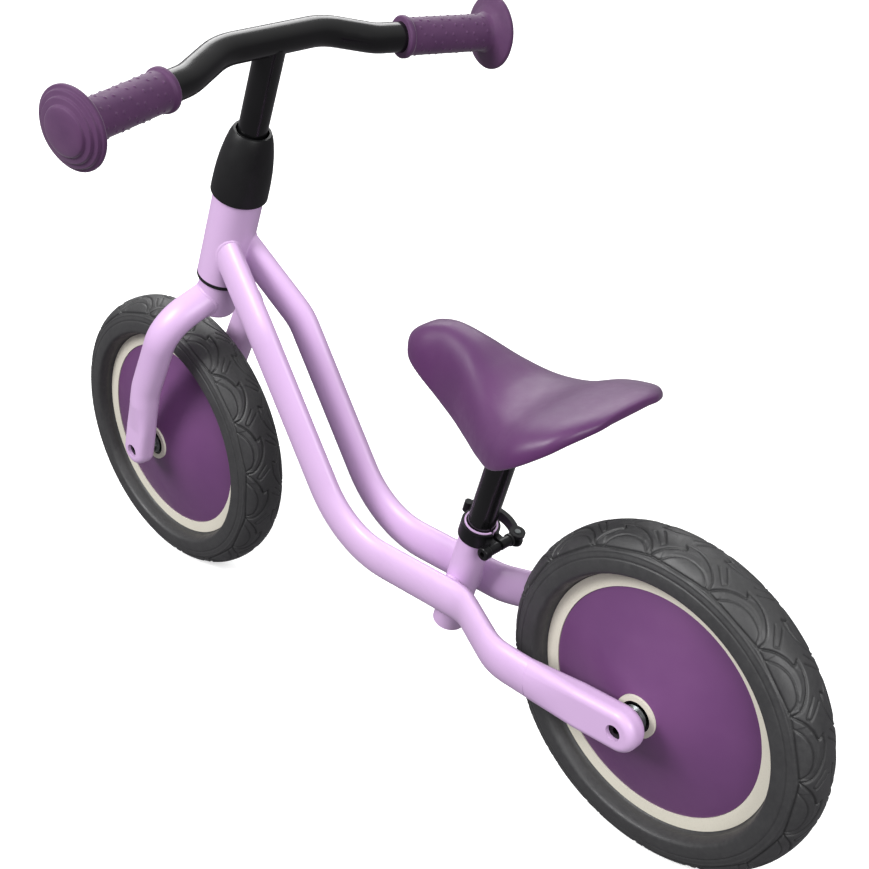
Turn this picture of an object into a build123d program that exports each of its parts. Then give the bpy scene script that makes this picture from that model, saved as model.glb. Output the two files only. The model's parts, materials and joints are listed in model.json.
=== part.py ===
"""Child's balance bike: 12-inch disc wheels, a curved twin-tube frame, a bar and a saddle of adjustable height.

Millimetres. +X is forward, +Y is the rider's left, +Z is up. The origin is on the ground,
midway between the two wheels, on the centre plane. Every piece is written as its own STEP.
"""
from build123d import *
import math
import os

# ---------------------------------------------------------------- driving sizes
WHEELBASE = 602.7
TYRE_DIAMETER = 280.0
TYRE_WIDTH = 52.4
TYRE_CROWN_HEIGHT = 28.4            # from the widest point of the tyre up to its tread
RIM_RADIUS = 104.8                  # outer edge of the cream rim face
RIM_WIDTH = 25.2
DISC_RADIUS = 93.8                  # outer edge of the wheel disc
DISC_THICKNESS = 2.0
HUB_BARREL_RADIUS = 17.5
HUB_HALF_WIDTH = 35.0
BEARING_OUTER_RADIUS = 13.0
BEARING_WIDTH = 8.0
AXLE_RADIUS = 5.0
SPOKES = 6

HEAD_ANGLE = 22.0                   # steering axis, degrees back from vertical
HEAD_FOOT_X = 351.0                 # where the steering axis meets the ground
SEAT_ANGLE = 18.0                   # seat tube axis, degrees back from vertical
SEAT_FOOT_X = -42.9                 # where the seat tube axis meets the ground

STEM_RADIUS = 12.7
STEERER_RADIUS = STEM_RADIUS + 2.3
HEADSET_RING = 4.0                  # radial room for the bearings between the steerer and the head tube
HEAD_TUBE_BORE = STEERER_RADIUS + HEADSET_RING
HEAD_TUBE_RADIUS = HEAD_TUBE_BORE + 3.2
HEAD_TUBE_BOTTOM = 360.0            # distances along the steering axis from the ground
HEAD_TUBE_TOP = 453.0
STEERER_TOP = 475.0
CROWN_RADIUS = STEERER_RADIUS + HEADSET_RING
CROWN_BOTTOM = 319.0
LOWER_SEAL_HEIGHT = 3.4
COVER_BOTTOM = 450.0
COVER_TOP = 514.0
COVER_WALL = 2.0
COVER_RADIUS = HEAD_TUBE_RADIUS + 1.0 + COVER_WALL
COVER_TOP_RADIUS = STEM_RADIUS + 3.7
STEM_BOTTOM = 402.0
BAR_CENTRE = 600.3                  # handlebar centre line, along the steering axis
BAR_RADIUS = 12.7
BAR_WALL = 2.0

FRAME_TUBE_HEIGHT = 36.0            # oval frame tubes
FRAME_TUBE_WIDTH = 18.5
FRAME_TUBE_WALL = 1.6
FORK_LEG_DEPTH = 31.0               # oval fork legs, fore and aft
FORK_LEG_WIDTH = 25.4
FORK_LEG_WALL = 1.8
DROPOUT_Y = 52.0                    # centre of the flattened frame and fork ends
DROPOUT_WIDTH = 18.5

POST_RADIUS = 11.7
SLEEVE_WALL = 1.0
SEAT_TUBE_BORE = POST_RADIUS + SLEEVE_WALL
SEAT_TUBE_RADIUS = SEAT_TUBE_BORE + 1.3
SEAT_TUBE_BOTTOM = 103.5            # distances along the seat axis from the ground
SEAT_TUBE_TOP = 221.0
POST_WALL = 2.0
POST_BOTTOM = 147.0
COLLAR_HEIGHT = 14.0
COLLAR_WALL = 2.2

GRIP_RADIUS = BAR_RADIUS + 3.3
GRIP_RING_RADIUS = GRIP_RADIUS + 2.0
GRIP_FLANGE_RADIUS = GRIP_RADIUS + 16.0
GRIP_START = 25.0                   # along the grip run, from the bar's second bend
GRIP_FLANGE_AT = 117.0
GRIP_DOME_HEIGHT = 13.0

SADDLE_NOSE_X = -37.5
SADDLE_PAD = 9.0
SADDLE_FULLNESS = 2.6               # 2 is an elliptical cross-section, more is squarer
# saddle cross-sections from nose to tail: x, half width, crown height, underside height
SADDLE_STATIONS = [
    (SADDLE_NOSE_X, 5, 356, 350), (-41, 13, 360, 346), (-48, 19.5, 365, 340), (-60, 22, 371, 332),
    (-80, 22, 374.5, 319), (-105, 28, 370, 310), (-130, 40, 360, 307), (-155, 54, 351.5, 307),
    (-180, 67, 350.5, 311), (-205, 73, 358.5, 324), (-228, 65, 363, 339), (-244, 48, 365, 351),
    (-252, 30, 365, 358)]
POCKET_ROOF = 1.6                   # the pad over the hollow, in side pads
POCKET_DROP = 10.0                  # how far the hollow's cutter reaches below the underside
BASE_FIRST, BASE_LAST = 4, 9        # stations between which the inner plate lies
BASE_MARGIN = 0.6
BASE_Z = 325.0                      # underside of the plate inside the saddle
BASE_THICKNESS = 5.0
PLATE_THICKNESS = 3.0
PLATE_LENGTH = 56.0
PLATE_WIDTH = 40.0
SCREW_RADIUS = 2.5

HEADSET_HEIGHT = 8.0
SLIT_LENGTH = 26.0
SLIT_WIDTH = 3.0
SLEEVE_LENGTH = 45.0
WELD_BITE = 0.3                     # how far a frame tube's side is scarfed into the seat tube
BOLT_RADIUS = 3.0
BOLT_HEAD_RADIUS = 6.2
BOLT_HEAD_LENGTH = 5.0
BOLT_RECESS = 8.5
BOLT_GRIP = 16.0
AXLE_SEAT = 4.0                     # how far the axle enters the tube end
CONE_RADIUS = 10.5
CONE_NUT_RADIUS = 8.7
CHANNEL_HALF = 9.6                  # half width of the rim's tyre channel
CHANNEL_RADIUS = 98.5
DISC_SEAT_Y = 9.6
SPOKE_DEPTH = 16.0
SPOKE_THICKNESS = 5.0
FORK_END_STEP = 0.2                 # a fork end's oval is this much smaller than its leg's
FLARE_SHARE = 0.55                  # share of the last run over which the oval turns flat
CLAMP_OFFSET = SEAT_TUBE_RADIUS + 8.5   # clamp bolt's distance behind the seat axis
CLAMP_BOLT_RADIUS = 2.5
CLAMP_HEAD_RADIUS = 5.6
CLAMP_HEAD_LENGTH = 7.0
LUG_RADIUS = 4.6
LUG_REACH = 12.0
CLAMP_EYE_HEIGHT = 5.0
WASHER_THICKNESS = 2.0
LEVER_PIN_Y = 21.0
LEVER_PIN_RADIUS = 2.5
LEVER_HEIGHT = 11.0
LEVER_BOW = SEAT_TUBE_RADIUS + 14   # how far the lever's arm stands off the seat axis
LEVER_THICKNESS = 4.5
LEVER_TIP = (SEAT_TUBE_RADIUS + 10.5, -10.5)    # in the clamp's plane: ahead of the seat axis, and to its right
STEM_CLAMP_RADIUS = STEERER_RADIUS + 6.0
STEM_CLAMP_HEIGHT = 16.0
STEM_BOLT_RADIUS = 2.2

FIT = 0.05                          # radial running clearance of shafts and sliding tubes
GAP = 0.3                           # clearance between pieces that move past each other

AXLE_Z = TYRE_DIAMETER / 2
FRONT_X = WHEELBASE / 2
REAR_X = -WHEELBASE / 2


# ---------------------------------------------------------------- frames of reference
def axis_plane(foot_x, angle, distance):
    """Plane square to a leaning axis: local X forward, local Y left, local Z up the axis."""
    lean = math.radians(angle)
    up = Vector(-math.sin(lean), 0, math.cos(lean))
    forward = Vector(math.cos(lean), 0, math.sin(lean))
    return Plane(origin=Vector(foot_x, 0, 0) + up * distance, x_dir=forward, z_dir=up)


def head_at(distance):
    return axis_plane(HEAD_FOOT_X, HEAD_ANGLE, distance)


def seat_at(distance):
    return axis_plane(SEAT_FOOT_X, SEAT_ANGLE, distance)


def rod(plane, radius, length):
    return plane * Cylinder(radius, length, align=(Align.CENTER, Align.CENTER, Align.MIN))


def pipe(plane, outer, inner, length):
    return rod(plane, outer, length) - rod(plane.offset(-1), inner, length + 2)


def cross_rod(x, z, radius, y_low, y_high):
    """Round rod parallel to the Y axis."""
    side = Plane(origin=(x, y_high, z), x_dir=(1, 0, 0), z_dir=(0, -1, 0))
    return side * Cylinder(radius, y_high - y_low, align=(Align.CENTER, Align.CENTER, Align.MIN))


def mirrored(shape):
    return mirror(shape, about=Plane.XZ)


def section_plane(point, direction):
    """Plane square to a tube's run whose local Y is as near to the bike's Y as it can be."""
    run = Vector(*direction).normalized()
    across = (Vector(0, 1, 0) - run * run.Y).normalized()
    return Plane(origin=point, x_dir=across.cross(run), z_dir=run)


def swept_oval(path, half_depth, half_width):
    """Solid oval bar along a path, its narrow side across the bike."""
    plane = section_plane(path @ 0, path % 0)
    return sweep(plane * Ellipse(half_depth, half_width), path=path)


def tube_with_end(points, radii, half_depth, half_width, wall, axle_x, end_step):
    """Hollow oval tube of straight runs and tangent arcs, with a flattened solid end at the axle."""
    path = FilletPolyline(*points, radius=radii)
    end = flattened_end(points[-1], axle_x, half_depth - end_step, half_width - end_step)
    outer = swept_oval(path, half_depth, half_width) + end
    return outer - swept_oval(path, half_depth - wall, half_width - wall)


def point_toward_axle(bend, axle_x, distance):
    """Point on the straight run from a tube's last bend to its axle."""
    bend = Vector(*bend)
    run = Vector(axle_x, DROPOUT_Y, AXLE_Z) - bend
    return tuple(bend + run.normalized() * distance)


def flattened_end(start, axle_x, half_depth, half_width):
    """Solid tube end that flattens to a round-nosed plate, square to Y, around the axle."""
    start = Vector(*start)
    axle = Vector(axle_x, DROPOUT_Y, AXLE_Z)
    run = axle - start
    plate_from = start + run * FLARE_SHARE
    corner = DROPOUT_WIDTH * 0.36
    oval = section_plane(start, run) * Ellipse(half_depth, half_width)
    flat = section_plane(plate_from, run) * RectangleRounded(2 * half_depth, DROPOUT_WIDTH, corner)
    length = (axle - plate_from).length
    outline = Polyline((length, half_depth), (0, half_depth), (0, -half_depth), (length, -half_depth))
    nose = ThreePointArc((length, -half_depth), (length + half_depth, 0), (length, half_depth))
    side = Plane(origin=plate_from, x_dir=run, z_dir=(0, 1, 0))
    plate = side * extrude(make_face([outline, nose]), DROPOUT_WIDTH / 2, both=True)
    rims = [edge for edge in plate.edges()
            if abs(abs(edge.center().Y - DROPOUT_Y) - DROPOUT_WIDTH / 2) < 0.01
            and (edge.center() - plate_from).dot(run.normalized()) > 0.01]
    return loft([oval, flat]) + fillet(rims, corner)


# ---------------------------------------------------------------- frame
def head_tube():
    """Straight tube with a bearing seat at each end."""
    return pipe(head_at(HEAD_TUBE_BOTTOM), HEAD_TUBE_RADIUS, HEAD_TUBE_BORE, HEAD_TUBE_TOP - HEAD_TUBE_BOTTOM)


def headset_bearing(bottom):
    return pipe(head_at(bottom), HEAD_TUBE_BORE - FIT, STEERER_RADIUS + FIT, HEADSET_HEIGHT)


def seat_tube():
    """Tube with a slit at the back of its top, so that the collar can squeeze it."""
    tube = pipe(seat_at(SEAT_TUBE_BOTTOM), SEAT_TUBE_RADIUS, SEAT_TUBE_BORE, SEAT_TUBE_TOP - SEAT_TUBE_BOTTOM)
    slit = seat_at(SEAT_TUBE_TOP - SLIT_LENGTH) * Pos(-SEAT_TUBE_RADIUS, 0, 0) * Box(
        2 * (SEAT_TUBE_RADIUS - POST_RADIUS) + 4, SLIT_WIDTH, 2 * SLIT_LENGTH,
        align=(Align.CENTER, Align.CENTER, Align.MIN))
    return tube - slit


def seat_sleeve():
    """Nylon sleeve between the seat tube and the post."""
    bottom = seat_at(SEAT_TUBE_TOP - SLEEVE_LENGTH)
    return pipe(bottom, SEAT_TUBE_BORE - FIT, POST_RADIUS + FIT, SLEEVE_LENGTH - 1)


def frame_tube():
    """Left frame tube, from the head tube down past the seat tube to the rear axle."""
    side = SEAT_TUBE_RADIUS + FRAME_TUBE_WIDTH / 2 - WELD_BITE
    points = [(200.3, 9.0, 371.2), (133.6, side, 306.6), (30.6, side, 141.1), (-115.1, side, 142.0),
              (-175.0, DROPOUT_Y, 138.0), (-214.0, DROPOUT_Y, 136.5)]
    half_height, half_width = FRAME_TUBE_HEIGHT / 2, FRAME_TUBE_WIDTH / 2
    tube = tube_with_end(points, [65, 89, 41, 60], half_height, half_width, FRAME_TUBE_WALL, REAR_X, 0)
    tube -= rod(head_at(HEAD_TUBE_BOTTOM - 40), HEAD_TUBE_RADIUS, 200)
    tube -= rod(seat_at(SEAT_TUBE_BOTTOM - 40), SEAT_TUBE_RADIUS, 200)
    return largest(tube - axle_recess(REAR_X))


def largest(shape):
    """The biggest solid of a cut, without the scrap inside the other tube."""
    return max(shape.solids(), key=lambda solid: solid.volume)


def axle_recess(axle_x):
    """Stepped hole of the left tube end: bolt head recess outside, axle seat inside."""
    outer = DROPOUT_Y + DROPOUT_WIDTH / 2
    inner = DROPOUT_Y - DROPOUT_WIDTH / 2
    recess = cross_rod(axle_x, AXLE_Z, BOLT_HEAD_RADIUS + GAP, outer - BOLT_RECESS, outer + 5)
    seat = cross_rod(axle_x, AXLE_Z, AXLE_RADIUS + FIT, inner - 5, inner + AXLE_SEAT)
    return recess + seat + cross_rod(axle_x, AXLE_Z, BOLT_RADIUS + FIT, inner, outer)


def seat_collar():
    """Split clamp collar with two round lugs behind it for the clamp bolt."""
    bottom = SEAT_TUBE_TOP - COLLAR_HEIGHT - 1
    inner = SEAT_TUBE_RADIUS + FIT
    ring = pipe(seat_at(bottom), inner + COLLAR_WALL, inner, COLLAR_HEIGHT)
    plane = seat_at(bottom + COLLAR_HEIGHT / 2)
    lugs = clamp_rod(plane, LUG_RADIUS, -LUG_REACH, LUG_REACH)
    web = plane * Pos(-CLAMP_OFFSET / 2 - inner / 2, 0, 0) * Box(CLAMP_OFFSET - inner, 2 * LUG_REACH * 0.6, 8)
    solid = ring + lugs + web
    solid -= rod(seat_at(bottom - 5), inner, COLLAR_HEIGHT + 10)
    solid -= plane * Pos(-CLAMP_OFFSET, 0, 0) * Box(2 * CLAMP_OFFSET - 10, SLIT_WIDTH, 2 * COLLAR_HEIGHT)
    return solid - clamp_rod(plane, CLAMP_BOLT_RADIUS + FIT, -50, 50)


def clamp_rod(plane, radius, y_low, y_high):
    """Rod on the clamp bolt's line, behind the seat tube and parallel to Y."""
    line = plane * Pos(-CLAMP_OFFSET, (y_low + y_high) / 2, 0)
    return line * Rot(90, 0, 0) * Cylinder(radius, y_high - y_low)


def clamp_plane():
    return seat_at(SEAT_TUBE_TOP - 1 - COLLAR_HEIGHT / 2)


def clamp_bolt():
    """Clamp bolt with a round socket head on the left and an eye for the lever pin on the right."""
    plane = clamp_plane()
    bolt = clamp_rod(plane, CLAMP_BOLT_RADIUS, -LEVER_PIN_Y, LUG_REACH)
    head = clamp_rod(plane, CLAMP_HEAD_RADIUS, LUG_REACH, LUG_REACH + CLAMP_HEAD_LENGTH)
    bolt += fillet(head.edges().filter_by(GeomType.CIRCLE), 1.2)
    socket_face = plane * Pos(-CLAMP_OFFSET, LUG_REACH + CLAMP_HEAD_LENGTH, 0) * Rot(90, 0, 0)
    bolt -= extrude(socket_face * RegularPolygon(2.6, 6), 4)
    bolt += lever_pivot() * Cylinder(LEVER_PIN_RADIUS + 2, CLAMP_EYE_HEIGHT)
    return bolt - lever_pivot() * Cylinder(LEVER_PIN_RADIUS + FIT, 20)


def clamp_washer():
    """Plastic pad that the lever's cam presses on."""
    washer = clamp_rod(clamp_plane(), LUG_RADIUS + 0.8, -LUG_REACH - WASHER_THICKNESS, -LUG_REACH)
    return washer - clamp_rod(clamp_plane(), CLAMP_BOLT_RADIUS + FIT, -50, 50)


# ---------------------------------------------------------------- quick-release lever
def lever_pivot():
    """Frame of the lever's pin, parallel to the seat tube."""
    return clamp_plane() * Pos(-CLAMP_OFFSET, -LEVER_PIN_Y, 0)


def qr_lever():
    """Lever with a forked cam head behind the seat tube and an arm that wraps round its right side."""
    cam_radius = LEVER_PIN_Y - LUG_REACH - WASHER_THICKNESS - GAP
    bend = ThreePointArc((-CLAMP_OFFSET, -LEVER_PIN_Y), (0, -LEVER_BOW), LEVER_TIP)
    arm = extrude(trace(bend, LEVER_THICKNESS), LEVER_HEIGHT / 2 - 1, both=True)
    tip = Pos(*LEVER_TIP) * Cylinder(LEVER_THICKNESS * 0.75, LEVER_HEIGHT - 1)
    lever = clamp_plane() * (arm + tip) + lever_pivot() * Cylinder(cam_radius, LEVER_HEIGHT)
    slot = Cylinder(cam_radius + 1, CLAMP_EYE_HEIGHT + 2 * GAP)
    return lever - lever_pivot() * (slot + Cylinder(LEVER_PIN_RADIUS + FIT, 40))


def lever_pin():
    """Barrel pin on which the lever turns, through the bolt's eye."""
    return lever_pivot() * Cylinder(LEVER_PIN_RADIUS, LEVER_HEIGHT + 1)


# ---------------------------------------------------------------- fork
def steerer():
    return pipe(head_at(CROWN_BOTTOM + 6), STEERER_RADIUS, STEM_RADIUS + FIT, STEERER_TOP - CROWN_BOTTOM - 6)


def fork_crown():
    """Short thick tube under the head tube that holds the steerer and both legs."""
    top = HEAD_TUBE_BOTTOM - LOWER_SEAL_HEIGHT - GAP
    crown = rod(head_at(CROWN_BOTTOM), CROWN_RADIUS, top - CROWN_BOTTOM)
    rim = crown.edges().filter_by(GeomType.CIRCLE).sort_by(Axis.Z)[0]
    crown = fillet(rim, 4)
    return crown - rod(head_at(CROWN_BOTTOM + 6), STEERER_RADIUS, 100)


def lower_seal():
    """Black ring between the fork crown and the head tube."""
    bottom = HEAD_TUBE_BOTTOM - LOWER_SEAL_HEIGHT - GAP
    return pipe(head_at(bottom), HEAD_TUBE_RADIUS, STEERER_RADIUS, LOWER_SEAL_HEIGHT)


def fork_leg():
    """Left fork leg, out of the crown's side, over the tyre and down to the front axle."""
    last_bend = (279.5, DROPOUT_Y, 211.3)
    points = [(224.4, 4.0, 313.0), (237.5, DROPOUT_Y, 289.9), last_bend,
              point_toward_axle(last_bend, FRONT_X, 17)]
    half_depth, half_width = FORK_LEG_DEPTH / 2, FORK_LEG_WIDTH / 2
    tube = tube_with_end(points, [46, 70], half_depth, half_width, FORK_LEG_WALL, FRONT_X, FORK_END_STEP)
    top = HEAD_TUBE_BOTTOM - LOWER_SEAL_HEIGHT - GAP
    tube -= rod(head_at(CROWN_BOTTOM - 60), CROWN_RADIUS, top - CROWN_BOTTOM + 60)
    tube -= rod(head_at(top), 200, 100)
    return largest(tube - axle_recess(FRONT_X))


def stem_clamp():
    """Split ring on the steerer's top that grips the stem, hidden under the cover."""
    bottom = head_at(STEERER_TOP - STEM_CLAMP_HEIGHT)
    ring = pipe(bottom, STEM_CLAMP_RADIUS, STEERER_RADIUS + FIT, STEM_CLAMP_HEIGHT)
    plane = head_at(STEERER_TOP - STEM_CLAMP_HEIGHT / 2)
    ring -= plane * Pos(-STEM_CLAMP_RADIUS, 0, 0) * Box(2 * STEM_CLAMP_RADIUS - 20, SLIT_WIDTH, 40)
    return ring - stem_bolt_rod(STEM_BOLT_RADIUS + FIT, -30, 30)


def stem_bolt_rod(radius, y_low, y_high):
    plane = head_at(STEERER_TOP - STEM_CLAMP_HEIGHT / 2)
    at = plane * Pos(-(STEERER_RADIUS + STEM_CLAMP_RADIUS) / 2, (y_low + y_high) / 2, 0)
    return at * Rot(90, 0, 0) * Cylinder(radius, y_high - y_low)


def stem_clamp_bolt():
    return stem_bolt_rod(STEM_BOLT_RADIUS, -9, 9)


def stem_cover():
    """Bell-shaped cover over the clamp; an inner web rests on the clamp."""
    length = COVER_TOP - COVER_BOTTOM
    swell = COVER_RADIUS - 0.6
    outside = Spline((COVER_RADIUS, 0), (swell, length * 0.36), (COVER_TOP_RADIUS + 4.4, length * 0.79),
                     (COVER_TOP_RADIUS, length), tangents=[(0, 1), (-1, 1.7)])
    inside = Spline((COVER_RADIUS - COVER_WALL, 0), (swell - COVER_WALL, length * 0.36),
                    (COVER_TOP_RADIUS + 4.4 - COVER_WALL, length * 0.79),
                    (COVER_TOP_RADIUS - COVER_WALL, length), tangents=[(0, 1), (-1, 1.7)])
    closing = [Line(inside @ 0, outside @ 0), Line(inside @ 1, outside @ 1)]
    profile = make_face([outside, inside] + closing)
    shell = revolve(Plane.XZ * profile, Axis.Z)
    web_at = STEERER_TOP - COVER_BOTTOM
    web = rod(Plane.XY.offset(web_at), swell - COVER_WALL + 0.5, 2)
    web -= Cylinder(STEM_RADIUS + 1, 4 * length)
    return head_at(COVER_BOTTOM) * (shell + web)


# ---------------------------------------------------------------- handlebar
def bar_points():
    """Left half of the handlebar's centre line: flat middle, back and down, then the grip run."""
    centre = head_at(BAR_CENTRE).origin
    return [Vector(centre.X, 0, centre.Z), Vector(centre.X, 52, centre.Z),
            Vector(centre.X - 16.2, 96, centre.Z - 11.6), Vector(centre.X - 42.7, 230, centre.Z - 22.1)]


def grip_plane(distance):
    """Plane square to the left grip run, at a distance from the bar's second bend."""
    bend, end = bar_points()[2:]
    run = (end - bend).normalized()
    return Plane(origin=bend + run * distance, x_dir=Vector(0, 0, 1).cross(run), z_dir=run)


def handlebar_tube():
    centre, shoulder, bend, _ = bar_points()
    tip = grip_plane(GRIP_FLANGE_AT - 3).origin
    route = [tip, bend, shoulder]
    points = route + [Vector(p.X, -p.Y, p.Z) for p in reversed(route)]
    path = FilletPolyline(*points, radius=[60, 62, 62, 60])
    start = Plane(origin=path @ 0, z_dir=path % 0)
    outer = sweep(start * Circle(BAR_RADIUS), path=path)
    return outer - sweep(start * Circle(BAR_RADIUS - BAR_WALL), path=path)


def stem_tube():
    """Tube up to just under the bar's centre line, hollowed where the bar is welded across it."""
    length = BAR_CENTRE - STEM_BOTTOM - BAR_RADIUS / 4
    tube = pipe(head_at(STEM_BOTTOM), STEM_RADIUS, STEM_RADIUS - BAR_WALL, length)
    centre = bar_points()[0]
    return tube - cross_rod(centre.X, centre.Z, BAR_RADIUS, -60, 60)


def grip():
    """Left rubber grip: inner ring, hand part, stepped safety flange and domed end."""
    hand = GRIP_FLANGE_AT - GRIP_START
    flange = GRIP_FLANGE_RADIUS
    steps = [(GRIP_RING_RADIUS - 1.2, 0), (GRIP_RING_RADIUS, 1.2), (GRIP_RING_RADIUS, 5.0), (GRIP_RADIUS, 7.5),
             (GRIP_RADIUS, hand - 5.0), (flange - 9, hand - 3.5), (flange - 7.5, hand - 0.5),
             (flange - 1.5, hand), (flange, hand + 1.5), (flange, hand + 3.5), (flange - 4.5, hand + 5.0),
             (flange - 5.0, hand + 7.0), (flange - 9.5, hand + 8.0), (flange - 10.0, hand + 9.5)]
    outline = Polyline((0, 0), *steps)
    rim_radius, rim_height = steps[-1]
    top = hand + GRIP_DOME_HEIGHT
    rise = top - rim_height
    ball = (rim_radius ** 2 + rise ** 2) / (2 * rise)
    half_angle = math.asin(rim_radius / ball) / 2
    middle = (ball * math.sin(half_angle), top - ball + ball * math.cos(half_angle))
    dome = ThreePointArc(steps[-1], middle, (0, top))
    profile = make_face([outline, dome, Line((0, top), (0, 0))])
    body = grip_plane(GRIP_START) * revolve(Plane.XZ * profile, Axis.Z)
    return body - rod(grip_plane(GRIP_START - 5), BAR_RADIUS + FIT, hand + 2.5)


# ---------------------------------------------------------------- saddle and post
def saddle_section(x, half_width, crown, edge):
    """Cross-section of the saddle at x: flat underside and a superellipse crown."""
    power = 2 / SADDLE_FULLNESS
    angles = [math.radians(a) for a in (-90, -62, -35, -12, 12, 35, 62, 90)]
    points = [(math.copysign(half_width * abs(math.sin(a)) ** power, a), (crown - edge) * math.cos(a) ** power)
              for a in angles]
    plane = Plane(origin=(x, 0, edge), x_dir=(0, 1, 0), z_dir=(1, 0, 0))
    top = Spline(*points, tangents=[(0, 1), (0, -1)])
    return plane * make_face([top, Line(top @ 1, top @ 0)])


def saddle_block():
    """Saddle's full outer form: narrow raised nose, dished middle, wide thin tail."""
    return loft([saddle_section(*station) for station in SADDLE_STATIONS])


def saddle_pocket():
    """Hollow under the saddle, which leaves a padded shell round it."""
    sections = [saddle_section(x, half_width - SADDLE_PAD, crown - POCKET_ROOF * SADDLE_PAD, edge - POCKET_DROP)
                for x, half_width, crown, edge in SADDLE_STATIONS[3:-3]]
    return loft(sections)


def slab(z_low, z_high, size=600):
    """Wide level block between two heights."""
    return Pos(SADDLE_NOSE_X, 0, z_low) * Box(size, size, z_high - z_low,
                                              align=(Align.CENTER, Align.CENTER, Align.MIN))


def saddle_cover():
    """Padded shell of the saddle, with a recess for the inner plate's rim."""
    return largest(saddle_block() - saddle_pocket() - base_plate(FIT))


def pocket_half_width(z, half_width, crown, edge):
    """Half width of the hollow under the saddle at height z, in one cross-section."""
    floor, ceiling = edge - POCKET_DROP, crown - POCKET_ROOF * SADDLE_PAD
    rise = ((z - floor) / (ceiling - floor)) ** SADDLE_FULLNESS
    return (half_width - SADDLE_PAD) * (1 - rise) ** (1 / SADDLE_FULLNESS)


def base_plate(clearance):
    """The inner plate's outline between two levels, grown by a clearance all round."""
    top = BASE_Z + BASE_THICKNESS
    side = [(x, pocket_half_width(top, half_width, crown, edge) - BASE_MARGIN + clearance)
            for x, half_width, crown, edge in SADDLE_STATIONS[BASE_FIRST:BASE_LAST + 1]]
    side[0] = (side[0][0] + clearance, side[0][1])
    side[-1] = (side[-1][0] - clearance, side[-1][1])
    left = Spline(*side)
    right = mirror(left, about=Plane.XZ)
    outline = make_face([left, Line(left @ 1, right @ 1), right, Line(left @ 0, right @ 0)])
    return Pos(0, 0, BASE_Z - clearance) * extrude(outline, BASE_THICKNESS + 2 * clearance)


def saddle_base():
    """Moulded plate inside the saddle, which the cover is stretched over and the post's plate is screwed to."""
    return base_plate(0) - screw_rods(SCREW_RADIUS + FIT)


def post_plate():
    """Steel plate welded on the post, level under the saddle."""
    plate = Pos(post_top_x(), 0, BASE_Z - PLATE_THICKNESS) * extrude(
        RectangleRounded(PLATE_LENGTH, PLATE_WIDTH, 8), PLATE_THICKNESS)
    return plate - screw_rods(SCREW_RADIUS + FIT)


def post_top_x():
    return SEAT_FOOT_X - (BASE_Z - PLATE_THICKNESS) * math.tan(math.radians(SEAT_ANGLE))


def screw_spots():
    """The four screws' places on the post plate."""
    reach_x, reach_y = PLATE_LENGTH / 2 - 8, PLATE_WIDTH / 2 - 7
    return [(post_top_x() + i * reach_x, j * reach_y) for i in (-1, 1) for j in (-1, 1)]


def screw_rods(radius):
    rods = [Pos(x, y, BASE_Z - PLATE_THICKNESS) * Cylinder(
        radius, PLATE_THICKNESS + BASE_THICKNESS, align=(Align.CENTER, Align.CENTER, Align.MIN))
        for x, y in screw_spots()]
    return Compound(rods)


def saddle_screws():
    """Four pan-head screws up through the post plate into the base."""
    screws = []
    for x, y in screw_spots():
        screw = Pos(x, y, BASE_Z - PLATE_THICKNESS - 2.5) * Cylinder(
            SCREW_RADIUS * 2, 2.5, align=(Align.CENTER, Align.CENTER, Align.MIN))
        screw += Pos(x, y, BASE_Z - PLATE_THICKNESS) * Cylinder(
            SCREW_RADIUS, PLATE_THICKNESS + BASE_THICKNESS - 1, align=(Align.CENTER, Align.CENTER, Align.MIN))
        screws.append(screw)
    return Compound(screws)


def seat_post():
    """Straight tube, cut level at the top to meet its plate."""
    tube = pipe(seat_at(POST_BOTTOM), POST_RADIUS, POST_RADIUS - POST_WALL, 240)
    return largest(tube - slab(BASE_Z - PLATE_THICKNESS, BASE_Z + 100))


# ---------------------------------------------------------------- wheels
def turned(points):
    """Ring turned about the axle's line, at the origin; points are (radius, y)."""
    profile = make_face(Polyline(*points, close=True))
    return revolve(Plane.XY * profile, Axis.Y)


def on_axle(shape, axle_x):
    return Pos(axle_x, 0, AXLE_Z) * shape


def rim():
    """One moulding: tyre channel, spokes and hub barrel, with the discs' seats on both sides."""
    face, edge = RIM_WIDTH / 2, DISC_SEAT_Y
    ring = turned([(RIM_RADIUS, face), (DISC_RADIUS + GAP, face), (DISC_RADIUS + GAP, edge),
                   (DISC_RADIUS - 5, edge), (DISC_RADIUS - 5, -edge), (DISC_RADIUS + GAP, -edge),
                   (DISC_RADIUS + GAP, -face),
                   (RIM_RADIUS, -face), (RIM_RADIUS, -CHANNEL_HALF), (CHANNEL_RADIUS, -CHANNEL_HALF),
                   (CHANNEL_RADIUS, CHANNEL_HALF), (RIM_RADIUS, CHANNEL_HALF)])
    seat = HUB_HALF_WIDTH - 1 - BEARING_WIDTH
    barrel = turned([(HUB_BARREL_RADIUS, HUB_HALF_WIDTH), (BEARING_OUTER_RADIUS, HUB_HALF_WIDTH),
                     (BEARING_OUTER_RADIUS, seat), (BEARING_OUTER_RADIUS - 2.5, seat),
                     (BEARING_OUTER_RADIUS - 2.5, -seat), (BEARING_OUTER_RADIUS, -seat),
                     (BEARING_OUTER_RADIUS, -HUB_HALF_WIDTH), (HUB_BARREL_RADIUS, -HUB_HALF_WIDTH)])
    length = DISC_RADIUS - 4 - HUB_BARREL_RADIUS + 1
    spoke = Pos(HUB_BARREL_RADIUS - 1 + length / 2, 0, 0) * Box(length, SPOKE_DEPTH, SPOKE_THICKNESS)
    return ring + barrel + [Rot(0, i * 360 / SPOKES, 0) * spoke for i in range(SPOKES)]


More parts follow.
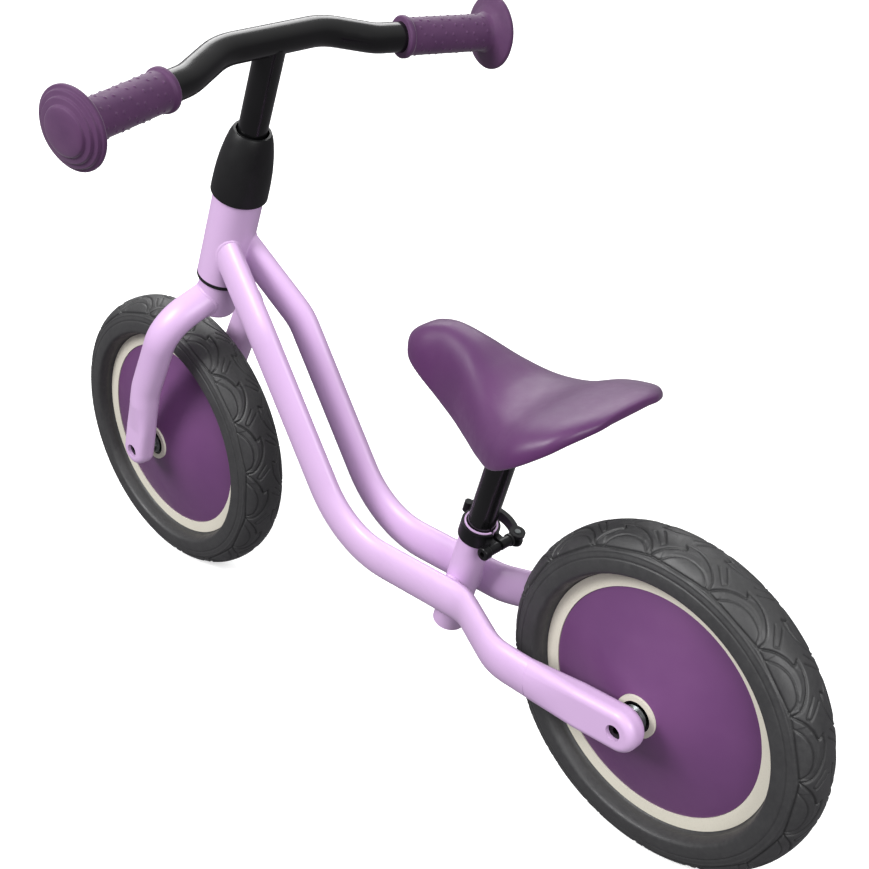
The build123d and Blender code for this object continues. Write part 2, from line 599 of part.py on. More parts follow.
def disc():
    """Left wheel disc: a shallow cone from the rim up to the hub barrel."""
    seat = DISC_SEAT_Y + GAP / 2
    crown = HUB_HALF_WIDTH - 2
    inner = HUB_BARREL_RADIUS + GAP / 2
    thick = DISC_THICKNESS
    outer_line = [(DISC_RADIUS, seat), (DISC_RADIUS, seat + thick), (inner, crown)]
    inner_line = [(inner, crown - thick * 1.1), (DISC_RADIUS - 3, seat)]
    return turned(outer_line + inner_line)


def tyre():
    """Solid foam tyre: round crown, bulging sides and a foot that fills the rim's channel."""
    half = TYRE_WIDTH / 2
    crown = TYRE_DIAMETER / 2
    widest = crown - TYRE_CROWN_HEIGHT
    shoulder = [(widest + TYRE_CROWN_HEIGHT * math.sin(a) ** 0.87, half * math.cos(a) ** 0.87)
                for a in [math.radians(d) for d in (30, 60)]]
    (r1, y1), (r2, y2) = shoulder
    upper = Spline((widest, -half), (r1, -y1), (r2, -y2), (crown, 0), (r2, y2), (r1, y1), (widest, half),
                   tangents=[(1, 0), (-1, 0)])
    lip = (RIM_RADIUS + GAP, RIM_WIDTH / 2 + 0.5)
    lower = Spline((widest, half), (RIM_RADIUS + 2.4, half - 5), lip, tangents=[(-1, 0), (-0.3, -1)])
    foot_half = CHANNEL_HALF - 0.1
    foot = Polyline(lip, (RIM_RADIUS + GAP, foot_half), (CHANNEL_RADIUS + 0.1, foot_half),
                    (CHANNEL_RADIUS + 0.1, -foot_half), (RIM_RADIUS + GAP, -foot_half), (lip[0], -lip[1]))
    lower_right = mirror(lower, about=Plane.XZ)
    profile = make_face([upper, lower, foot, lower_right])
    return revolve(profile, Axis.Y)


def bearing(side):
    """Ball bearing at one end of the hub, as a plain ring."""
    low = side * (HUB_HALF_WIDTH - 1 - BEARING_WIDTH / 2)
    ring = Cylinder(BEARING_OUTER_RADIUS - FIT, BEARING_WIDTH) - Cylinder(AXLE_RADIUS + FIT, BEARING_WIDTH + 2)
    return Pos(0, low, 0) * Rot(90, 0, 0) * ring


def bearings():
    return Compound([bearing(1), bearing(-1)])


def bearing_sleeve():
    """Tube that keeps the two bearings apart."""
    length = 2 * (HUB_HALF_WIDTH - 1 - BEARING_WIDTH)
    tube = Cylinder(AXLE_RADIUS + 2.5, length) - Cylinder(AXLE_RADIUS + FIT, length + 2)
    return Rot(90, 0, 0) * tube


def axle():
    """Steel axle with a tapped hole in each end for its bolt."""
    end = DROPOUT_Y - DROPOUT_WIDTH / 2 + AXLE_SEAT - FIT
    hole = cross_rod(0, 0, BOLT_RADIUS, end - BOLT_GRIP, end)
    return cross_rod(0, 0, AXLE_RADIUS, -end, end) - hole - mirrored(hole)


def axle_bolt():
    """Left socket-head bolt, sunk in the tube end."""
    under_head = DROPOUT_Y + DROPOUT_WIDTH / 2 - BOLT_RECESS
    axle_end = DROPOUT_Y - DROPOUT_WIDTH / 2 + AXLE_SEAT
    head = cross_rod(0, 0, BOLT_HEAD_RADIUS, under_head, under_head + BOLT_HEAD_LENGTH)
    shank = cross_rod(0, 0, BOLT_RADIUS, axle_end - BOLT_GRIP + 1, under_head)
    face = Plane(origin=(0, under_head + BOLT_HEAD_LENGTH, 0), x_dir=(1, 0, 0), z_dir=(0, -1, 0))
    return head + shank - extrude(face * RegularPolygon(3.0, 6), 4)


def spacer():
    """Left cone nut on the axle, from the hub to the inside of the tube end."""
    hub = HUB_HALF_WIDTH - 1 + GAP
    frame = DROPOUT_Y - DROPOUT_WIDTH / 2
    cone = turned([(AXLE_RADIUS, hub), (CONE_RADIUS - 1, hub), (CONE_RADIUS, hub + 1.5),
                   (CONE_RADIUS - 2, hub + 3.5), (AXLE_RADIUS, hub + 3.5)])
    nut_face = Plane(origin=(0, hub + 3.5, 0), x_dir=(1, 0, 0), z_dir=(0, 1, 0))
    nut = extrude(nut_face * RegularPolygon(CONE_NUT_RADIUS, 6), frame - hub - 3.5)
    return cone + nut - cross_rod(0, 0, AXLE_RADIUS + FIT, -100, 100)


def pair(shape):
    """A left piece and its right twin as one group of two solids."""
    return Compound([*shape.solids(), *mirrored(shape).solids()])


# ---------------------------------------------------------------- every piece, by node name
def build():
    left_tube, left_leg, left_grip = frame_tube(), fork_leg(), grip()
    left_disc = disc()
    pieces = {
        "head_tube": head_tube(),
        "headset_bearing_lower": headset_bearing(HEAD_TUBE_BOTTOM + 1),
        "headset_bearing_upper": headset_bearing(HEAD_TUBE_TOP - HEADSET_HEIGHT - 1),
        "frame_tube_left": left_tube,
        "frame_tube_right": mirrored(left_tube),
        "seat_tube": seat_tube(),
        "seat_sleeve": seat_sleeve(),
        "seat_collar": seat_collar(),
        "clamp_bolt": clamp_bolt(),
        "clamp_washer": clamp_washer(),
        "qr_lever": qr_lever(),
        "lever_pin": lever_pin(),
        "steerer": steerer(),
        "fork_crown": fork_crown(),
        "lower_seal": lower_seal(),
        "fork_leg_left": left_leg,
        "fork_leg_right": mirrored(left_leg),
        "stem_clamp": stem_clamp(),
        "stem_clamp_bolt": stem_clamp_bolt(),
        "stem_cover": stem_cover(),
        "stem_tube": stem_tube(),
        "handlebar_tube": handlebar_tube(),
        "grip_left": left_grip,
        "grip_right": mirrored(left_grip),
        "seat_post": seat_post(),
        "post_plate": post_plate(),
        "saddle_base": saddle_base(),
        "saddle_screws": saddle_screws(),
        "saddle_cover": saddle_cover(),
    }
    wheel = {"rim": rim(), "disc_left": left_disc, "disc_right": mirrored(left_disc), "tyre": tyre(),
             "bearings": bearings(), "bearing_sleeve": bearing_sleeve(),
             "axle": axle(), "axle_bolts": pair(axle_bolt()), "axle_spacers": pair(spacer())}
    for name, axle_x in (("front", FRONT_X), ("rear", REAR_X)):
        for piece, shape in wheel.items():
            pieces[f"{name}_{piece}"] = on_axle(shape, axle_x)
    return pieces


os.makedirs("parts", exist_ok=True)
for node, shape in build().items():
    export_step(shape, f"parts/{node}.step")
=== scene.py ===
"""Looks of the balance bike round its CAD frame: materials, tyres, grips, saddle, welds, studio, camera."""
import json
import math

import bpy
import numpy as np
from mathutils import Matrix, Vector


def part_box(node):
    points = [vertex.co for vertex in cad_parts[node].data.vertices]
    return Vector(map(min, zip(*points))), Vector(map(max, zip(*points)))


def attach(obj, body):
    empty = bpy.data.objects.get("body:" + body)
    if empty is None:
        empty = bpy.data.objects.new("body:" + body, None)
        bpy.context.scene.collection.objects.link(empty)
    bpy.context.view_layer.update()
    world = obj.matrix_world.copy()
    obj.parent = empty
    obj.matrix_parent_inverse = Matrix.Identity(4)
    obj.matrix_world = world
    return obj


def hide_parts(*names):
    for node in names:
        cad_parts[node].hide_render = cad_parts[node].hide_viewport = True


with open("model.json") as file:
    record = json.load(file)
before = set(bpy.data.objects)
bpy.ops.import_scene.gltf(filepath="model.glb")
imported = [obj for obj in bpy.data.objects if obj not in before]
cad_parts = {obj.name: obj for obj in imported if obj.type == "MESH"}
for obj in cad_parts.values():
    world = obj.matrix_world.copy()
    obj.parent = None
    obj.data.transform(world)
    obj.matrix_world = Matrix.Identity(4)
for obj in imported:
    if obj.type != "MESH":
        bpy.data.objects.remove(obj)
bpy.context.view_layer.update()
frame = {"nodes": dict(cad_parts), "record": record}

MM = 0.001
HEAD_ANGLE = math.radians(22)
SEAT_ANGLE = math.radians(18)


# ---------------------------------------------------------------- materials
def srgb(red, green, blue):
    """Linear colour of an 0-255 sRGB triple."""
    def linear(value):
        value /= 255
        return value / 12.92 if value <= 0.04045 else ((value + 0.055) / 1.055) ** 2.4
    return (linear(red), linear(green), linear(blue), 1)


class Look:
    """A Principled material whose node helpers keep the recipes below short."""

    def __init__(self, name, roughness, metallic=0.0, coat=0.0, coat_roughness=0.1, sheen=0.0,
                 specular=0.5):
        self.material = bpy.data.materials.new(name)
        self.material.use_nodes = True
        self.tree = self.material.node_tree
        self.shader = self.tree.nodes["Principled BSDF"]
        self.coordinates = self.tree.nodes.new("ShaderNodeTexCoord")
        self.shader.inputs["Roughness"].default_value = roughness
        self.shader.inputs["Metallic"].default_value = metallic
        self.shader.inputs["Coat Weight"].default_value = coat
        self.shader.inputs["Coat Roughness"].default_value = coat_roughness
        self.shader.inputs["Sheen Weight"].default_value = sheen
        self.shader.inputs["Specular IOR Level"].default_value = specular

    def node(self, kind, **inputs):
        made = self.tree.nodes.new(kind)
        for key, value in inputs.items():
            made.inputs[key.replace("_", " ")].default_value = value
        return made

    def link(self, source, target):
        self.tree.links.new(source, target)

    def noise(self, scale, detail=3.0, roughness=0.5):
        made = self.node("ShaderNodeTexNoise", Scale=scale, Detail=detail, Roughness=roughness)
        self.link(self.coordinates.outputs["Object"], made.inputs["Vector"])
        return made.outputs["Fac"]

    def ramp(self, source, stops):
        made = self.tree.nodes.new("ShaderNodeValToRGB")
        elements = made.color_ramp.elements
        while len(elements) < len(stops):
            elements.new(0.5)
        for element, (place, colour) in zip(elements, stops):
            element.position = place
            element.color = colour
        self.link(source, made.inputs["Fac"])
        return made.outputs["Color"]

    def mix(self, factor, first, second):
        made = self.tree.nodes.new("ShaderNodeMix")
        made.data_type = "RGBA"
        self.link(factor, made.inputs[0])
        self.link(first, made.inputs[6])
        self.link(second, made.inputs[7])
        return made.outputs[2]

    def vary(self, first, second, scale):
        """Colour that wanders slowly between two close shades."""
        shades = self.ramp(self.noise(scale), [(0.35, first), (0.65, second)])
        self.link(shades, self.shader.inputs["Base Color"])
        return self

    def vary_roughness(self, low, high, scale):
        made = self.node("ShaderNodeMapRange", From_Min=0.3, From_Max=0.7, To_Min=low, To_Max=high)
        self.link(self.noise(scale, 4), made.inputs["Value"])
        self.link(made.outputs["Result"], self.shader.inputs["Roughness"])
        return self

    def bump(self, height, distance, strength=1.0):
        """Adds a bump on top of those already there."""
        made = self.node("ShaderNodeBump", Strength=strength, Distance=distance)
        self.link(height, made.inputs["Height"])
        normal = self.shader.inputs["Normal"]
        if normal.links:
            self.link(normal.links[0].from_socket, made.inputs["Normal"])
        self.link(made.outputs["Normal"], normal)
        return self

    def grain(self, scale, distance, detail=2.0):
        return self.bump(self.noise(scale, detail), distance)


def frame_paint():
    """Satin lilac powder coat: fine orange peel and slightly uneven gloss."""
    look = Look("lilac powder coat", 0.42, coat=0.25, coat_roughness=0.28, specular=0.4)
    look.vary(srgb(206, 174, 214), srgb(203, 170, 212), 9)
    look.vary_roughness(0.38, 0.46, 40)
    return look.grain(900, 0.00002, 3).material


def black_gloss():
    """Gloss black paint of the bar, stem and post, with faint handling marks."""
    look = Look("gloss black paint", 0.2, coat=0.25, coat_roughness=0.1, specular=0.28)
    look.vary(srgb(16, 16, 17), srgb(11, 11, 12), 14)
    look.vary_roughness(0.16, 0.26, 55)
    return look.grain(700, 0.00001).material


def black_satin():
    """Fine-grained satin black nylon."""
    look = Look("satin black nylon", 0.4, specular=0.3)
    look.vary(srgb(24, 24, 25), srgb(18, 18, 19), 30)
    look.vary_roughness(0.38, 0.5, 90)
    return look.grain(2600, 0.00003, 3).material


def black_steel():
    """Black oxide steel with dull bare metal showing through in specks."""
    look = Look("black oxide steel", 0.34, metallic=0.55, specular=0.5)
    worn = look.ramp(look.noise(420, 6, 0.7), [(0.62, srgb(24, 24, 26)), (0.8, srgb(64, 62, 62))])
    look.link(worn, look.shader.inputs["Base Color"])
    look.vary_roughness(0.26, 0.46, 200)
    return look.grain(1500, 0.00003).material


def zinc_steel():
    """Grey zinc plate with cloudy crystals."""
    look = Look("zinc plated steel", 0.36, metallic=0.9)
    look.vary(srgb(118, 122, 122), srgb(92, 96, 97), 300)
    look.vary_roughness(0.28, 0.46, 350)
    return look.grain(1200, 0.00002).material


def bearing_steel():
    """Ground bearing steel under a film of grease."""
    look = Look("ground bearing steel", 0.3, metallic=1.0)
    look.vary(srgb(70, 72, 74), srgb(46, 48, 50), 200)
    look.vary_roughness(0.22, 0.4, 500)
    return look.grain(1800, 0.00001).material


def grip_rubber():
    """Matte purple rubber, a little paler where the light catches its bloom."""
    look = Look("purple rubber", 0.62, sheen=0.25, specular=0.3)
    look.shader.inputs["Sheen Roughness"].default_value = 0.4
    look.vary(srgb(84, 51, 87), srgb(77, 45, 81), 45)
    look.vary_roughness(0.56, 0.7, 160)
    return look.grain(2400, 0.00005, 4).material


def saddle_skin():
    """Satin skin of the moulded saddle, with a very fine leather-like grain."""
    look = Look("purple saddle skin", 0.44, sheen=0.08, coat=0.12, coat_roughness=0.35, specular=0.42)
    look.vary(srgb(82, 38, 87), srgb(76, 34, 82), 18)
    look.vary_roughness(0.4, 0.5, 120)
    cells = look.node("ShaderNodeTexVoronoi", Scale=1500)
    look.link(look.coordinates.outputs["Object"], cells.inputs["Vector"])
    look.bump(cells.outputs["Distance"], 0.00003)
    return look.grain(500, 0.00004).material


def disc_plastic():
    """Purple moulded disc with a fine satin finish."""
    look = Look("purple disc plastic", 0.4, coat=0.2, coat_roughness=0.3, specular=0.42)
    look.vary(srgb(107, 66, 112), srgb(100, 60, 106), 14)
    look.vary_roughness(0.36, 0.46, 60)
    return look.grain(1800, 0.00003, 3).material


def rim_plastic():
    """Cream moulded plastic with tiny pale and dark specks."""
    look = Look("cream rim plastic", 0.5, specular=0.4)
    base = look.ramp(look.noise(24), [(0.35, srgb(216, 211, 197)), (0.65, srgb(209, 205, 190))])
    speck = look.ramp(look.noise(1400, 2), [(0.3, srgb(188, 182, 166)), (0.42, srgb(216, 211, 197))])
    look.link(look.mix(look.noise(700, 2), base, speck), look.shader.inputs["Base Color"])
    look.vary_roughness(0.44, 0.56, 90)
    return look.grain(1600, 0.00004, 3).material


def tyre_foam():
    """Dark foam rubber: fine pores, paler dust in patches, and painted shade that darkens the grooves."""
    look = Look("tyre foam", 0.46, specular=0.5)
    base = look.ramp(look.noise(38, 5), [(0.3, srgb(46, 46, 47)), (0.7, srgb(56, 56, 57))])
    dust = look.ramp(look.noise(260, 6, 0.7), [(0.4, srgb(50, 50, 51)), (0.75, srgb(64, 64, 64))])
    layered = look.mix(look.noise(11, 3), base, dust)
    # painted shade: the point attribute darkens the grooves, shoulder line and sidewall lip towards this
    # near-black colour
    groove_and_painted_shade = look.node("ShaderNodeAttribute")
    groove_and_painted_shade.attribute_name = "groove_and_painted_shade"
    deep = look.node("ShaderNodeRGB")
    deep.outputs[0].default_value = srgb(24, 24, 25)
    look.link(look.mix(groove_and_painted_shade.outputs["Fac"], layered, deep.outputs[0]), look.shader.inputs["Base Color"])
    look.vary_roughness(0.4, 0.56, 130)
    pores = look.noise(2100, 4, 0.65)
    return look.bump(pores, 0.00012).grain(320, 0.0001, 4).material


LOOKS = {"frame_paint": frame_paint(), "black_gloss": black_gloss(), "black_satin": black_satin(),
         "black_steel": black_steel(), "steel": zinc_steel(), "bearing_steel": bearing_steel(),
         "grip_rubber": grip_rubber(), "saddle_skin": saddle_skin(), "disc_plastic": disc_plastic(),
         "rim_plastic": rim_plastic(), "tyre_foam": tyre_foam()}
SLOT_OF = {part["node"]: part["material_slot"] for part in frame["record"]["subparts"]}


def dress_cad_nodes():
    for name, node in frame["nodes"].items():
        for place in node.material_slots:
            place.material = LOOKS[SLOT_OF[name]]


# ---------------------------------------------------------------- mesh helpers
def mesh_piece(name, points, faces, body, slot, replaced=(), groove_and_painted_shade=None):
    """A smooth-shaded mesh from arrays of points (metres) and faces, riding on a body; it can carry a point
    attribute of painted shade.
    """
    mesh = bpy.data.meshes.new(name)
    mesh.from_pydata([tuple(p) for p in points], [], faces)
    mesh.validate()
    mesh.polygons.foreach_set("use_smooth", [True] * len(mesh.polygons))
    if groove_and_painted_shade is not None:
        layer = mesh.attributes.new("groove_and_painted_shade", "FLOAT", "POINT")
        layer.data.foreach_set("value", np.asarray(groove_and_painted_shade, dtype=np.float32))
    mesh.materials.append(LOOKS[slot])
    mesh.update()
    piece = bpy.data.objects.new(name, mesh)
    bpy.context.scene.collection.objects.link(piece)
    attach(piece, body)
    if replaced:
        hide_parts(*replaced)
    return piece


def grid_faces(rows, columns, wrap_rows, wrap_columns):
    """Quads of a grid of points numbered row by row; either way round may close on itself."""
    faces = []
    for i in range(rows if wrap_rows else rows - 1):
        for j in range(columns if wrap_columns else columns - 1):
            k, m = (i + 1) % rows, (j + 1) % columns
            faces.append((i * columns + j, k * columns + j, k * columns + m, i * columns + m))
    return faces


def bell(distance, width):
    """Smooth hump of height 1 at distance 0, nearly gone at one width."""
    return np.exp(-(distance / width * 1.6) ** 2)


def smooth_step(value, low, high):
    t = np.clip((value - low) / (high - low), 0, 1)
    return t * t * (3 - 2 * t)


def segment_distance(u, v, start, end):
    """Distance in the (u, v) sheet from each point to a straight mark."""
    start, end = np.array(start), np.array(end)
    run = end - start
    share = np.clip(((u - start[0]) * run[0] + (v - start[1]) * run[1]) / (run @ run), 0, 1)
    return np.hypot(u - start[0] - share * run[0], v - start[1] - share * run[1])


def with_end_points(rows):
    """Rows of a table with one more at each end, in line with the last two."""
    return np.r_[[2 * rows[0] - rows[1]], rows, [2 * rows[-1] - rows[-2]]]


def catmull_rom(a, b, c, d, t):
    """Point at share t of the way from b to c on the smooth curve through a, b, c and d."""
    return 0.5 * (2 * b + (c - a) * t + (2 * a - 5 * b + 4 * c - d) * t * t
                  + (3 * b - a - 3 * c + d) * t ** 3)


# ---------------------------------------------------------------- tyres
CROWN_HEIGHT = 28.4                 # mm from the tyre's widest point up to its tread
CROWN_FULLNESS = 0.87               # 1 is an elliptical crown, less is squarer
LIP_HALF = 13.1                     # half width of the tyre where it meets the rim
LIP_GAP = 0.4
FOOT = (12.9, 9.4, -9.4, -12.9)     # the foot's points across the rim
FOOT_GAP = 0.35
PITCH_RADIUS = 134                  # radius at which the length of one repeat is measured
# painted shade: grooves at least this deep get the full painted shade
FULL_SHADE_DEPTH = 1.5                       # groove depth that is shaded fully dark
TREAD_REPEATS = 16
TREAD_STEPS = 88                    # points along one repeat
TREAD_HALF = 36.0                   # half width of the finely meshed tread, measured along the surface
TREAD_ROWS = 58
SIDE_ROWS = 20
PATTERN_FROM = 3.9                  # degrees from the top at which one repeat's corner lies
# grooves of one repeat: (share of the repeat, distance from the tread's middle line in mm)
HOOK = [(0, 24.5), (0.14, 16.5), (0.30, 11), (0.41, 8.6), (0.37, 4.0)]
OUTER_BOW = [(0.37, 4.0), (0.54, 3.7), (0.70, 6), (0.855, 11), (0.96, 16.8), (1.0, 24.5)]
INNER_LEAF = [(0.178, 24.5), (0.327, 18), (0.51, 14.4), (0.71, 15), (0.85, 18), (0.945, 24.5)]
STAPLE = [(-0.13, 4.2), (0.066, 13.7), (0.115, 12.6), (0.118, 10.8), (-0.04, 0.6)]
HIGH_RIB = [(0.30, 13.2), (0.44, 10.2), (0.58, 9.4), (0.72, 11.4), (0.83, 15.2)]


def tyre_profile(low, high, rim_radius):
    """Half outline of the tyre from its tread's middle to the rim: (radius, y) in mm."""
    crown = (high.z - low.z) / 2 / MM
    half = (high.y - low.y) / 2 / MM
    widest = crown - CROWN_HEIGHT
    a = np.radians(np.linspace(90, 0, 90))
    upper = np.c_[widest + CROWN_HEIGHT * np.sin(a) ** CROWN_FULLNESS, half * np.cos(a) ** CROWN_FULLNESS]
    b = np.linspace(0, 1, 30)[1:]
    lower = np.c_[widest - (widest - rim_radius - LIP_GAP) * b, half - (half - LIP_HALF) * b ** 2.6]
    return np.r_[upper, lower]


def mark_distance(share, v, mark, pitch):
    """Distance in mm from each point of the tread to one repeat's groove, drawn as a smooth line."""
    points = smooth_line(mark, 6) * [pitch, 1]
    runs = zip(points, points[1:])
    return np.min([segment_distance(share * pitch, v, start, end) for start, end in runs], axis=0)


def smooth_line(points, steps):
    """Catmull-Rom curve through a few points."""
    points = np.array(points, float)
    padded = with_end_points(points)
    curve = [catmull_rom(*four, t) for four in zip(padded, padded[1:], padded[2:], padded[3:])
             for t in np.arange(steps) / steps]
    return np.array(curve + [points[-1]])


def tread_relief(share, v, pitch):
    """How far the surface sinks (mm) and how dark the painted shade in the groove is, over one side of the
    tread.
    """
    sink, painted_shade = np.zeros_like(share), np.zeros_like(share)
    for turn in (-1, 0, 1):
        local = share + turn
        for mark, depth, width in ((HOOK, 1.5, 1.25), (OUTER_BOW, 1.5, 1.25), (INNER_LEAF, 1.1, 1.05),
                                   (STAPLE, 1.0, 0.95)):
            groove_and_painted_shade = bell(mark_distance(local, v, mark, pitch), width)
            sink = np.maximum(sink, depth * groove_and_painted_shade)
            painted_shade = np.maximum(painted_shade, depth / FULL_SHADE_DEPTH * groove_and_painted_shade)
        rib = bell(mark_distance(local, v, HIGH_RIB, pitch), 1.6)
        sink = sink - 0.35 * rib
        outer = np.interp(local, *np.array(HOOK[:3] + OUTER_BOW[1:]).T, left=99, right=99)
        inner = np.interp(local, *np.array(INNER_LEAF).T, left=-99, right=-99)
        band = smooth_step(v - outer, 0, 1.4) * smooth_step(inner - v, 0, 1.4)
        sink = sink + 0.45 * band
    return sink, painted_shade


def tyre_relief(share, v, pitch):
    """Relief over the whole half outline: tread, scalloped shoulder line, sidewall ridge and lip, and the
    painted shade of its grooves, shoulder line and lip.
    """
    sink, painted_shade = tread_relief(share, v, pitch)
    on_tread = 1 - smooth_step(v, 24.6, 26.0)
    scallop = 24.6 + 1.6 * np.sin(math.pi * share)
    line = bell(v - scallop, 1.2) * (1 - 0.6 * bell(np.minimum(share, 1 - share) * pitch, 2.2))
    step = smooth_step(v, 26.2, 27.6)
    ridge = bell(v - 28.6, 1.0) * 0.55
    lip = bell(v - 34.0, 0.9) * 0.7
    foot = bell(v - 57.0, 1.2) * 0.5
    sink = sink * on_tread + 1.3 * line + 0.35 * step + lip + foot - ridge
    # painted shade: full in the tread grooves and shoulder line, half on the sidewall lip
    return sink, np.maximum(painted_shade * on_tread, line) + 0.5 * lip


def tyre_rows(half):
    """Half outline resampled finely over the tread and coarsely down the sidewall, with lengths."""
    lengths = np.r_[0, np.cumsum(np.hypot(*np.diff(half, axis=0).T))]
    places = np.r_[np.linspace(0, TREAD_HALF, TREAD_ROWS, endpoint=False),
                   np.linspace(TREAD_HALF, lengths[-1], SIDE_ROWS)]
    return np.c_[np.interp(places, lengths, half[:, 0]), np.interp(places, lengths, half[:, 1])], places


def tyre(end):
    """Foam tyre with its moulded tread, shoulder line, sidewall ridge and a foot down into the rim."""
    low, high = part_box(f"{end}_tyre")
    rim_low, rim_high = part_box(f"{end}_rim")
    rim_radius = (rim_high.z - rim_low.z) / 2 / MM
    centre = (low + high) / 2
    half, lengths = tyre_rows(tyre_profile(low, high, rim_radius))
    outline = np.r_[half[::-1] * [1, -1], half[1:]]
    v = np.r_[lengths[::-1], lengths[1:]]
    right_side = np.arange(len(v)) < len(half)
    tangent = np.gradient(outline, axis=0)
    normal = np.c_[tangent[:, 1], -tangent[:, 0]]
    normal /= np.linalg.norm(normal, axis=1)[:, None]
    steps = TREAD_REPEATS * TREAD_STEPS
    turn = np.arange(steps) / steps
    pitch = 2 * math.pi * PITCH_RADIUS / TREAD_REPEATS
    share = (PATTERN_FROM / 360 - turn)[:, None] * TREAD_REPEATS + np.where(right_side, 0.5, 0.0)
    share %= 1
    sink, painted_shade = tyre_relief(share[:TREAD_STEPS], np.broadcast_to(v, (TREAD_STEPS, len(v))), pitch)
    sink = np.tile(np.clip(sink, -0.5, 1.7), (TREAD_REPEATS, 1))
    # painted shade of the grooves, kept per point for the tyre material
    painted_shade = np.tile(np.clip(painted_shade, 0, 1) * 0.8, (TREAD_REPEATS, 1))
    radius = outline[:, 0] - sink * normal[:, 0]
    y = outline[:, 1] - sink * normal[:, 1]
    radius = np.c_[radius, np.full((steps, len(FOOT)), rim_radius + FOOT_GAP)]
    y = np.c_[y, np.tile(FOOT, (steps, 1))]
    shade = np.c_[painted_shade, np.zeros((steps, len(FOOT)))]
    angle = turn[:, None] * 2 * math.pi
    points = np.stack([centre.x + radius * np.sin(angle) * MM, centre.y + y * MM,
                       centre.z + radius * np.cos(angle) * MM], axis=-1).reshape(-1, 3)
    faces = grid_faces(steps, radius.shape[1], True, True)
    return mesh_piece(f"{end}_tyre_tread", points, faces, f"{end}_wheel", "tyre_foam",
                      [f"{end}_tyre"], shade.reshape(-1))


# ---------------------------------------------------------------- grips
GRIP_STEPS = 256
SHAFT_ROWS = 190
HAND_RADIUS = 15.8
FLANGE_LENGTH = 13                  # mm from the hand part's end to the button's top
NUB_RINGS = 7
NUB_HEIGHT = 0.6
NUBS_ROUND = 7                      # pairs of nubs round each ring


def grip_axes(side):
    """Axes of one grip: along the bar, and two across it."""
    sign = 1 if side == "left" else -1
    run = Vector((-26.5, sign * 134.0, -10.5)).normalized()
    across = Vector((0, 0, 1)).cross(run).normalized()
    return run, across, run.cross(across)


def grip_start(side):
    """Centre of the grip's inner end, from the node's points nearest the bike's middle along the run."""
    points = np.array([v.co for v in frame["nodes"][f"grip_{side}"].data.vertices])
    along = points @ np.array(grip_axes(side)[0])
    near = points[along < along.min() + 0.0002]
    return Vector(near.mean(axis=0)), along.max() - along.min()


def rounded(corners, radius, steps=4):
    """Outline through corners, each blunted by a small curve."""
    corners = [np.array(c, float) for c in corners]
    points = [corners[0]]
    for before, corner, after in zip(corners, corners[1:], corners[2:]):
        back, ahead = before - corner, after - corner
        reach = min(radius, np.linalg.norm(back) * 0.45, np.linalg.norm(ahead) * 0.45)
        a = corner + back / np.linalg.norm(back) * reach
        b = corner + ahead / np.linalg.norm(ahead) * reach
        for t in np.linspace(0, 1, steps):
            points.append((1 - t) ** 2 * a + 2 * t * (1 - t) * corner + t * t * b)
    points.append(corners[-1])
    return np.array(points)


def grip_outline(length):
    """(radius, distance) of the grip in mm: bead ring, hand part, stepped flange, low domed button."""
    hand = length - FLANGE_LENGTH
    ring = rounded([(12.9, 0.2), (16.9, 0), (17.9, 1.2), (17.9, 4.6),
                    (HAND_RADIUS, 6.4), (HAND_RADIUS, 9)], 1.0)
    shaft = np.c_[np.full(SHAFT_ROWS, HAND_RADIUS), np.linspace(9, hand - 9, SHAFT_ROWS + 2)[1:-1]]
    flange = rounded([(HAND_RADIUS, hand - 9), (17.2, hand - 5.4), (23.5, hand - 2.6), (30.9, hand - 0.4),
                      (32.0, hand + 1.2), (31.7, hand + 3.6), (28.9, hand + 4.2), (28.5, hand + 6.3),
                      (24.4, hand + 6.9), (24.0, hand + 8.8), (19.0, hand + 9.5), (18.5, hand + 11.0)], 0.75)
    dome = [(18.3 * math.cos(a), hand + 11.0 + 2.0 * math.sin(a))
            for a in np.radians(np.linspace(4, 90, 16))]
    return np.r_[ring, shaft, flange, dome]


def nubs(angle, place, first, last):
    """Height of the moulded nubs: staggered rings of pairs, each nub a small pill across the grip."""
    rise = np.zeros_like(place + angle)
    pitch = (last - first) / (NUB_RINGS - 1)
    for ring in range(NUB_RINGS):
        for k in range(NUBS_ROUND):
            for twin in (-0.21, 0.21):
                turn = (k + 0.5 * (ring % 2) + twin) * 2 * math.pi / NUBS_ROUND
                across = np.arctan2(np.sin(angle - turn), np.cos(angle - turn)) * HAND_RADIUS
                along = place - first - (ring + 0.8 * twin) * pitch
                fall = smooth_step(np.hypot(across / 1.25, along), 0.45, 1.35)
                rise = np.maximum(rise, NUB_HEIGHT * (1 - fall))
    return rise


def grip(side):
    """Rubber grip with rings of small nubs and a round safety flange."""
    run, across, up = grip_axes(side)
    start, length = grip_start(side)
    outline = grip_outline(length / MM)
    angle = (np.arange(GRIP_STEPS) / GRIP_STEPS * 2 * math.pi)[:, None]
    radius, place = outline[:, 0], outline[:, 1]
    hand = length / MM - FLANGE_LENGTH
    radius = radius + nubs(angle, place[None, :], 13.5, hand - 14) * (np.abs(radius - HAND_RADIUS) < 0.01)
    points = (np.array(start) + np.array(run) * (place * MM)[:, None]
              + np.array(across) * (radius * np.cos(angle) * MM)[..., None]
              + np.array(up) * (radius * np.sin(angle) * MM)[..., None])
    faces = grid_faces(GRIP_STEPS, len(outline), True, False)
    if side == "right":
        faces = [face[::-1] for face in faces]
    return mesh_piece(f"grip_{side}_rubber", points.reshape(-1, 3), faces, "handlebar", "grip_rubber",
                      [f"grip_{side}"])


